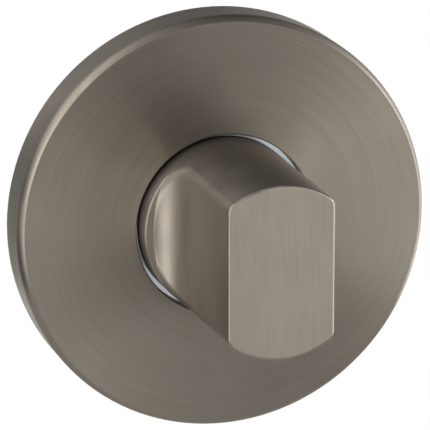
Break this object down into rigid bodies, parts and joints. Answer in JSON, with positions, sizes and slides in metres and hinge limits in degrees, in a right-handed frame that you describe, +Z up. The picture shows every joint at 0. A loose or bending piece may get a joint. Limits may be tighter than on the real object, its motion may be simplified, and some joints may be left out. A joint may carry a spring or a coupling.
{
  "type": "bathroom thumbturn",
  "caption": "Round push-on door rose with a scooped grip that turns a square spindle, for working a bathroom lock by hand.",
  "frame": {"origin": "centre of the rose's back, on the face of the door", "axes": "+X to the right as the user faces the door, +Y into the door along the spindle, +Z up"},
  "size_m": [0.052, 0.0731, 0.052],
  "materials": {
    "satin_nickel": "satin",
    "bright_zinc": "satin",
    "zinc_plated_steel": "satin",
    "spring_steel": "satin",
    "nylon": "matte"
  },
  "bodies": {
    "base": {"inner_rose": "bright_zinc", "bearing_bush": "nylon", "fixing_screw_upper": "zinc_plated_steel", "fixing_screw_lower": "zinc_plated_steel"},
    "turn": {"turn_grip": "satin_nickel", "spindle": "zinc_plated_steel", "spindle_pin": "spring_steel", "spring_washer": "spring_steel", "backing_washer": "zinc_plated_steel", "retaining_ring": "spring_steel"},
    "cover": {"rose_cover": "satin_nickel"}
  },
  "joints": [
    {"name": "turn_hinge", "type": "hinge", "parent": "base", "child": "turn", "pos_m": [0, 0, 0], "axis": [0, -1, 0], "range_deg": [-90, 90]},
    {"name": "cover_pull", "type": "slide", "parent": "base", "child": "cover", "axis": [0, -1, 0], "range_m": [0, 0.03]}
  ]
}
